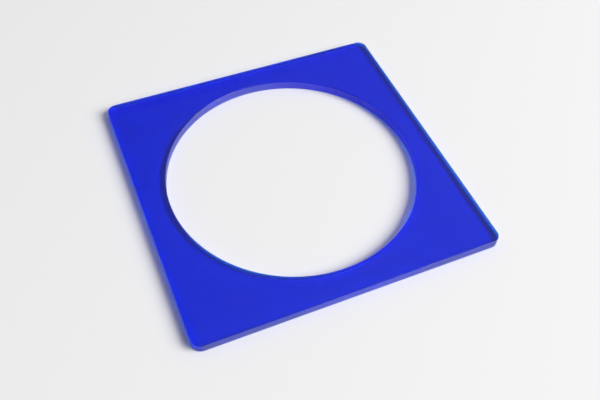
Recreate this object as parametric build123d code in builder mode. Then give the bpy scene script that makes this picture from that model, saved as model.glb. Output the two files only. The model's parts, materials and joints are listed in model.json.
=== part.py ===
from build123d import *
import os

# Circle template: one flat square plate of tinted acrylic sheet with one large round opening.
#
# Millimetres, +Z up. The origin is on the underside, at the centre of the opening. The plate lies on
# the XY plane with its four sides parallel to X and Y.

# Driving dimensions
side_length = 100.0
sheet_thickness = 3.2
opening_diameter = 83.0
corner_radius = 3.0
# The cutter leaves sharp rims. They are broken by hand with a scraper, by about this much.
edge_break = 0.2

opening_radius = opening_diameter / 2

# The plate: a rounded square with the opening through it, and every top and bottom rim broken.
with BuildPart() as template_plate:
    with BuildSketch(Plane.XY):
        RectangleRounded(side_length, side_length, corner_radius)
        Circle(opening_radius, mode=Mode.SUBTRACT)
    extrude(amount=sheet_thickness)
    flat_faces = template_plate.faces().filter_by(Axis.Z)
    chamfer(flat_faces.edges(), length=edge_break)

template_plate.part.label = "template_plate"

os.makedirs("parts", exist_ok=True)
export_step(template_plate.part, "parts/template_plate.step")

# Each side stays clear of the opening by this much at its middle, where the plate is narrowest.
narrowest_rim = side_length / 2 - opening_radius
print(f"narrowest rim {narrowest_rim:.1f} mm, volume {template_plate.part.volume:.1f} mm3")
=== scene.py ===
import json
import math

import bpy
import numpy as np
from mathutils import Matrix, Vector


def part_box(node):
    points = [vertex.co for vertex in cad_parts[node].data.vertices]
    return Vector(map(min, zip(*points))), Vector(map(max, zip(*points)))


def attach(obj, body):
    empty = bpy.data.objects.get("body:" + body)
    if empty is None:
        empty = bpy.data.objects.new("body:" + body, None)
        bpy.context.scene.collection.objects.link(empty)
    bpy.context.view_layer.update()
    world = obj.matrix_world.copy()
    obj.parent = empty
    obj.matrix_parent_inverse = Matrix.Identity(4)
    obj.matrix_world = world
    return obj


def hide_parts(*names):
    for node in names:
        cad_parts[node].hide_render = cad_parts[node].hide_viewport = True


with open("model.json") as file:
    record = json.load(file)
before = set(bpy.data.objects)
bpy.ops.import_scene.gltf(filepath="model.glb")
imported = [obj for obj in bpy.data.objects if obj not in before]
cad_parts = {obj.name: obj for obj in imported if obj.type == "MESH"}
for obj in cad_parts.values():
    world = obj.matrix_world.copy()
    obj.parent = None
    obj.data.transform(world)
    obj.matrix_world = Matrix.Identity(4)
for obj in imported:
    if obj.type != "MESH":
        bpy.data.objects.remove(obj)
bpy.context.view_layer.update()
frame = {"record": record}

MM = 0.001
SEED = 7

# Sizes, from the frame.
plate_low, plate_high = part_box("template_plate")
mounts = {mount["name"]: mount for mount in frame["record"]["mounts"]}
bore = mounts["circle_opening"]["dims"]

SIDE = plate_high.x - plate_low.x
THICKNESS = plate_high.z - plate_low.z
CENTRE = (plate_low + plate_high) / 2
OPENING_RADIUS = bore["r_mm"] * MM
# The bore's straight wall stops short of both faces by the broken rims.
EDGE_BREAK = (THICKNESS - bore["length_mm"] * MM) / 2
# The record holds no corner radius, so the CAD's own is repeated here.
CORNER_RADIUS = 3.0 * MM

# Mesh of the plate: the spacing of its columns round the plate, and its rows over a rim, a wall and a face.
COLUMN_PITCH = 0.2 * MM
BREAK_STEPS = 3
WALL_STEPS = 6
FACE_STEPS = 6
# The router leaves upright marks on the walls: shallow flutes, cut at an uneven feed.
MARK_PITCH = 0.7 * MM
MARK_UNEVENNESS = 0.35
MARK_DEPTH = 0.008 * MM
SHALLOWEST_MARK = 0.3

# Acrylic. Absorption is per metre, for red, green and blue: blue runs through the sheet almost unweakened.
REFRACTIVE_INDEX = 1.49
ABSORPTION = (2500.0, 560.0, 3.0)
FACE_TINT = (1.0, 1.0, 0.87)
POLISH = (0.1, 0.16)
# The cut walls are matt, and their torn skin throws a little light straight back, nearly white.
CUT_ROUGHNESS = (0.6, 0.9)
CUT_COLOUR = (0.75, 0.85, 0.95)
CUT_MILKINESS = (0.06, 0.12)
GRAIN_SIZE = 0.5 * MM
GRAIN_STRETCH = (1.0, 1.0, 8.0)
# A surface is cut wall where its normal rises or falls by less than this. The pair blends one into the other.
WALL_RISE = (0.5, 0.4)
# Handling leaves a thin uneven film of dust and a few specks of lint.
HAZE_SIZE = 9 * MM
POLISH_DETAIL = 6.0
FILM_DETAIL = 8.0
FILM_SHARE = (0.001, 0.003)
SPECK_SPACING = 3.0 * MM
SPECK_RADIUS = 0.14 * MM
SPECK_SHARE = 0.35
DUST_COLOUR = (0.8, 0.8, 0.8)
# Noise seldom leaves this part of its range, so it is spread over the whole of what it drives.
NOISE_SPAN = (0.3, 0.7)

# Camera: its direction round the plate, its roll, its distance and the point that it looks at.
AZIMUTH = math.radians(-25.11)
ELEVATION = math.radians(52.28)
ROLL = math.radians(2.86)
DISTANCE = 2.370 * SIDE
TARGET = Vector((-0.0164 * SIDE, -0.1076 * SIDE, 0.002 * SIDE))
# The lens and the sensor are in millimetres.
FOCAL_LENGTH = 43.734
SENSOR_WIDTH = 36.0
CLIP_START = 0.01

# Light: one large window at the camera's right, a little to the near side, and a dim room, paler on the
# ceiling towards the window and on the wall behind the plate.
KEY_AZIMUTH = AZIMUTH - math.radians(12.0)
KEY_ELEVATION = math.radians(38.2)
KEY_DISTANCE = 3.0
KEY_HALF_ANGLE = math.radians(17.0)
# In watts for each square metre of the window.
KEY_STRENGTH = 35.9
# The ceiling is brightest in one direction, and dims as the cosine of the angle to it falls.
BRIGHT_CEILING = (0.5, 0.0, 0.866)
CEILING_RAMP = (0.6, 1.0)
CEILING_STRENGTH = (0.0, 0.4)
# The room brightens with how far a direction leans towards +Y, where the back wall is.
BACK_RAMP = (0.0, 0.7)
BACK_STRENGTH = (0.06, 0.26)
ROOM_COLOUR = (1.0, 1.0, 1.0)

# Floor: a sheet of pale paper. A hair's gap keeps it from coinciding with the underside.
FLOOR_REACH = 6.0
FLOOR_GAP = 0.02 * MM
PAPER_COLOUR = (0.875, 0.875, 0.875)
PAPER_ROUGHNESS = 0.9

# Light runs far inside the sheet before it comes out, so its paths are long.
INNER_BOUNCES = 32
SURFACE_BOUNCES = 16


def add_object(name, data):
    """A new object in the scene, made of a mesh, a light or a camera."""
    thing = bpy.data.objects.new(name, data)
    bpy.context.scene.collection.objects.link(thing)
    return thing


def outline():
    """Points and outward normals round the rounded square, anticlockwise."""
    straight = SIDE - 2 * CORNER_RADIUS
    straight_steps = round(straight / COLUMN_PITCH)
    arc_steps = round(math.pi / 2 * CORNER_RADIUS / COLUMN_PITCH)
    points = []
    normals = []
    for corner in range(4):
        turn = corner * math.pi / 2
        out = np.array([math.cos(turn), math.sin(turn)])
        along = np.array([-math.sin(turn), math.cos(turn)])
        for step in range(straight_steps):
            points.append(out * SIDE / 2 + along * straight * (step / straight_steps - 0.5))
            normals.append(out)
        arc_centre = (out + along) * straight / 2
        for step in range(arc_steps):
            angle = turn + math.pi / 2 * step / arc_steps
            normal = np.array([math.cos(angle), math.sin(angle)])
            points.append(arc_centre + normal * CORNER_RADIUS)
            normals.append(normal)
    return np.array(points), np.array(normals)


def cutter_marks(loop, random):
    """How far the cutter dug in at each point of a closed loop: uneven flutes side by side."""
    steps = np.linalg.norm(np.roll(loop, -1, axis=0) - loop, axis=1)
    travelled = np.concatenate([[0.0], np.cumsum(steps)[:-1]])
    length = steps.sum()
    count = round(length / MARK_PITCH)
    starts = np.arange(count + 1) + MARK_UNEVENNESS * random.uniform(-1, 1, count + 1)
    starts[0] = 0.0
    starts[-1] = count
    phase = np.interp(travelled, starts * length / count, np.arange(count + 1.0))
    depths = MARK_DEPTH * random.uniform(SHALLOWEST_MARK, 1.0, count)
    return depths[phase.astype(int) % count] * np.sin(math.pi * phase) ** 2


def wall_profile():
    """(inset, height) pairs down one side wall, from the top face's rim to the underside's."""
    rim = []
    for step in range(BREAK_STEPS + 1):
        angle = math.pi / 2 * step / BREAK_STEPS
        rim.append((EDGE_BREAK * (1 - math.sin(angle)), EDGE_BREAK * (1 - math.cos(angle))))
    span = THICKNESS - 2 * EDGE_BREAK
    profile = [(inset, THICKNESS - drop) for inset, drop in rim]
    profile += [(0.0, THICKNESS - EDGE_BREAK - span * step / WALL_STEPS) for step in range(1, WALL_STEPS)]
    profile += [(inset, drop) for inset, drop in reversed(rim)]
    return profile


def across(start, end, height):
    """Rings that cross a flat face, between the outer wall's rim and the opening's."""
    return [(start + (end - start) * step / FACE_STEPS, height) for step in range(1, FACE_STEPS)]


def plate_rings():
    """Closed rings of points, in order down the outer wall, under, up the opening's wall and over."""
    random = np.random.default_rng(SEED)
    points, normals = outline()
    angles = np.arctan2(points[:, 1], points[:, 0])
    hole_normals = np.stack([np.cos(angles), np.sin(angles)], axis=1)
    hole_points = hole_normals * OPENING_RADIUS
    outer_marks = cutter_marks(points, random)[:, None]
    hole_marks = cutter_marks(hole_points, random)[:, None]
    profile = wall_profile()
    outer = [(points - normals * (inset + outer_marks), z) for inset, z in profile]
    inner = [(hole_points + hole_normals * (inset + hole_marks), z) for inset, z in reversed(profile)]
    underside = across(outer[-1][0], inner[0][0], 0.0)
    top = across(inner[-1][0], outer[0][0], THICKNESS)
    return outer + underside + inner + top


def ring_quads(rows, columns):
    """Quads that join each ring to the next one, and the last ring to the first."""
    quads = []
    for row in range(rows):
        below = (row + 1) % rows
        for column in range(columns):
            beside = (column + 1) % columns
            corners = ((row, column), (below, column), (below, beside), (row, beside))
            quads.append([ring * columns + place for ring, place in corners])
    return quads


def make_plate():
    """The whole plate as one closed mesh."""
    rings = plate_rings()
    verts = []
    for ring, z in rings:
        verts += [(x, y, plate_low.z + z) for x, y in ring + np.array(CENTRE.xy)]
    quads = ring_quads(len(rings), len(rings[0][0]))
    mesh = bpy.data.meshes.new("plate_body")
    mesh.from_pydata(verts, [], quads)
    # Smooth shading lets the rims' lean fade out over the flat faces, like the roll of a hand-worked rim.
    mesh.polygons.foreach_set("use_smooth", [True] * len(quads))
    mesh.update()
    return add_object("plate_body", mesh)


def new_material(name):
    """A material of nodes, which starts with one Principled shader."""
    material = bpy.data.materials.new(name)
    material.use_nodes = True
    return material


def map_range(tree, value, source, target):
    """A value taken from the source pair of numbers to the target pair."""
    node = tree.nodes.new("ShaderNodeMapRange")
    for name, number in zip(("From Min", "From Max", "To Min", "To Max"), (*source, *target)):
        node.inputs[name].default_value = number
    tree.links.new(value, node.inputs["Value"])
    return node.outputs["Result"]


def arithmetic(tree, operation, first, second):
    """One sum, product or the like of two nodes' outputs."""
    node = tree.nodes.new("ShaderNodeMath")
    node.operation = operation
    tree.links.new(first, node.inputs[0])
    tree.links.new(second, node.inputs[1])
    return node.outputs["Value"]


def mix(tree, kind, share, first, second):
    """Between two numbers ("FLOAT") or colours ("RGBA"), each one a constant or another node's output."""
    node = tree.nodes.new("ShaderNodeMix")
    node.data_type = kind
    tree.links.new(share, node.inputs["Factor"])
    sockets = [socket for socket in node.inputs if socket.enabled and socket.name in "AB"]
    for socket, value in zip(sockets, (first, second)):
        if isinstance(value, bpy.types.NodeSocket):
            tree.links.new(value, socket)
        else:
            socket.default_value = value
    return next(socket for socket in node.outputs if socket.enabled)


def noise(tree, place, size, target, detail=2.0, stretch=(1.0, 1.0, 1.0)):
    """Noise between the target pair, with features of a size in metres, drawn out by its stretch."""
    mapping = tree.nodes.new("ShaderNodeMapping")
    mapping.inputs["Scale"].default_value = [1 / (size * share) for share in stretch]
    tree.links.new(place, mapping.inputs["Vector"])
    node = tree.nodes.new("ShaderNodeTexNoise")
    node.inputs["Scale"].default_value = 1.0
    node.inputs["Detail"].default_value = detail
    tree.links.new(mapping.outputs["Vector"], node.inputs["Vector"])
    return map_range(tree, node.outputs["Fac"], NOISE_SPAN, target)


def wall_mask(tree):
    """1 on the cut walls and the steepest part of the rims, 0 on the rest of the rims and the two faces."""
    geometry = tree.nodes.new("ShaderNodeNewGeometry")
    split = tree.nodes.new("ShaderNodeSeparateXYZ")
    tree.links.new(geometry.outputs["True Normal"], split.inputs["Vector"])
    upward = tree.nodes.new("ShaderNodeMath")
    upward.operation = "ABSOLUTE"
    tree.links.new(split.outputs["Z"], upward.inputs[0])
    return map_range(tree, upward.outputs["Value"], WALL_RISE, (0.0, 1.0))


def dust_share(tree, place):
    """How much of the surface dust covers: a thin uneven film, and specks here and there."""
    film = noise(tree, place, HAZE_SIZE, FILM_SHARE, detail=FILM_DETAIL)
    cells = tree.nodes.new("ShaderNodeTexVoronoi")
    cells.inputs["Scale"].default_value = 1 / SPECK_SPACING
    tree.links.new(place, cells.inputs["Vector"])
    edge = SPECK_RADIUS / SPECK_SPACING
    specks = map_range(tree, cells.outputs["Distance"], (edge, edge / 2), (0.0, SPECK_SHARE))
    return arithmetic(tree, "ADD", film, specks)


def add_absorption(tree):
    """Beer-Lambert absorption inside the sheet. The colour socket holds each share that isn't absorbed."""
    volume = tree.nodes.new("ShaderNodeVolumeAbsorption")
    density = max(ABSORPTION)
    volume.inputs["Color"].default_value = (*[1 - rate / density for rate in ABSORPTION], 1.0)
    volume.inputs["Density"].default_value = density
    tree.links.new(volume.outputs["Volume"], tree.nodes["Material Output"].inputs["Volume"])


def acrylic():
    """Polished faces, matt cut walls and a little dust, on one clear body that absorbs all but blue."""
    material = new_material("blue_acrylic")
    tree = material.node_tree
    place = tree.nodes.new("ShaderNodeTexCoord").outputs["Object"]
    wall = wall_mask(tree)
    dust = dust_share(tree, place)
    clean_colour = mix(tree, "RGBA", wall, (*FACE_TINT, 1.0), (*CUT_COLOUR, 1.0))
    grain = noise(tree, place, GRAIN_SIZE, CUT_MILKINESS, stretch=GRAIN_STRETCH)
    opaque = arithmetic(tree, "ADD", arithmetic(tree, "MULTIPLY", wall, grain), dust)
    polish = noise(tree, place, HAZE_SIZE, POLISH, detail=POLISH_DETAIL)
    cut = noise(tree, place, GRAIN_SIZE, CUT_ROUGHNESS, stretch=GRAIN_STRETCH)
    shader = tree.nodes["Principled BSDF"]
    shader.inputs["IOR"].default_value = REFRACTIVE_INDEX
    tree.links.new(mix(tree, "RGBA", dust, clean_colour, (*DUST_COLOUR, 1.0)), shader.inputs["Base Color"])
    tree.links.new(mix(tree, "FLOAT", wall, polish, cut), shader.inputs["Roughness"])
    tree.links.new(map_range(tree, opaque, (0.0, 1.0), (1.0, 0.0)), shader.inputs["Transmission Weight"])
    add_absorption(tree)
    return material


def paper():
    """The floor's plain pale surface."""
    material = new_material("paper")
    shader = material.node_tree.nodes["Principled BSDF"]
    shader.inputs["Base Color"].default_value = (*PAPER_COLOUR, 1.0)
    shader.inputs["Roughness"].default_value = PAPER_ROUGHNESS
    return material


def make_floor():
    """One large square of paper just under the plate."""
    mesh = bpy.data.meshes.new("floor")
    reach = FLOOR_REACH
    corners = [(-reach, -reach, 0), (reach, -reach, 0), (reach, reach, 0), (-reach, reach, 0)]
    mesh.from_pydata(corners, [], [(0, 1, 2, 3)])
    mesh.materials.append(paper())
    floor = add_object("floor", mesh)
    floor.location.z = plate_low.z - FLOOR_GAP
    return floor


def level_direction(azimuth):
    """The level unit vector at an angle from +X."""
    return Vector((math.cos(azimuth), math.sin(azimuth), 0.0))


def make_camera():
    """The camera, looking down at the plate from the near side, with a slight roll."""
    level = math.cos(ELEVATION)
    back = Vector((math.sin(AZIMUTH) * level, -math.cos(AZIMUTH) * level, math.sin(ELEVATION)))
    right = level_direction(AZIMUTH)
    up = back.cross(right)
    rolled_right = right * math.cos(ROLL) + up * math.sin(ROLL)
    rolled_up = up * math.cos(ROLL) - right * math.sin(ROLL)
    turn = Matrix((rolled_right, rolled_up, back)).transposed().to_4x4()
    lens = bpy.data.cameras.new("camera")
    lens.sensor_width = SENSOR_WIDTH
    lens.lens = FOCAL_LENGTH
    lens.clip_start = CLIP_START
    camera = add_object("camera", lens)
    camera.matrix_world = Matrix.Translation(TARGET + back * DISTANCE) @ turn
    bpy.context.scene.camera = camera


def make_window():
    """The window's light: large, so that shadows are soft, and far, so that the floor is evenly lit."""
    toward = level_direction(KEY_AZIMUTH) * math.cos(KEY_ELEVATION)
    toward.z = math.sin(KEY_ELEVATION)
    size = 2 * KEY_DISTANCE * math.tan(KEY_HALF_ANGLE)
    light = bpy.data.lights.new("window", "AREA")
    light.size = size
    light.energy = KEY_STRENGTH * size ** 2
    window = add_object("window", light)
    turn = toward.to_track_quat("Z", "Y").to_matrix().to_4x4()
    window.matrix_world = Matrix.Translation(toward * KEY_DISTANCE) @ turn


def smooth_ramp(tree, value, source, target):
    """As map_range, but with soft ends."""
    ramp = map_range(tree, value, source, target)
    ramp.node.interpolation_type = "SMOOTHSTEP"
    return ramp


def make_room():
    """The room's own light, by direction."""
    world = bpy.data.worlds.new("room")
    world.use_nodes = True
    tree = world.node_tree
    direction = tree.nodes.new("ShaderNodeTexCoord").outputs["Generated"]
    toward = tree.nodes.new("ShaderNodeVectorMath")
    toward.operation = "DOT_PRODUCT"
    toward.inputs[1].default_value = BRIGHT_CEILING
    tree.links.new(direction, toward.inputs[0])
    split = tree.nodes.new("ShaderNodeSeparateXYZ")
    tree.links.new(direction, split.inputs["Vector"])
    ceiling = smooth_ramp(tree, toward.outputs["Value"], CEILING_RAMP, CEILING_STRENGTH)
    back_wall = smooth_ramp(tree, split.outputs["Y"], BACK_RAMP, BACK_STRENGTH)
    background = tree.nodes["Background"]
    background.inputs["Color"].default_value = (*ROOM_COLOUR, 1.0)
    tree.links.new(arithmetic(tree, "ADD", ceiling, back_wall), background.inputs["Strength"])
    bpy.context.scene.world = world


def set_light_paths():
    """Bounces enough for the light inside the sheet, and none of its gloss blurred away."""
    cycles = bpy.context.scene.cycles
    cycles.blur_glossy = 0.0
    cycles.max_bounces = INNER_BOUNCES
    cycles.transmission_bounces = INNER_BOUNCES
    cycles.diffuse_bounces = SURFACE_BOUNCES
    cycles.glossy_bounces = SURFACE_BOUNCES


plate = make_plate()
plate.data.materials.append(acrylic())
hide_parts("template_plate")
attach(plate, "root")

make_floor()
make_camera()
make_window()
make_room()
bpy.context.scene.view_settings.view_transform = "Standard"
set_light_paths()
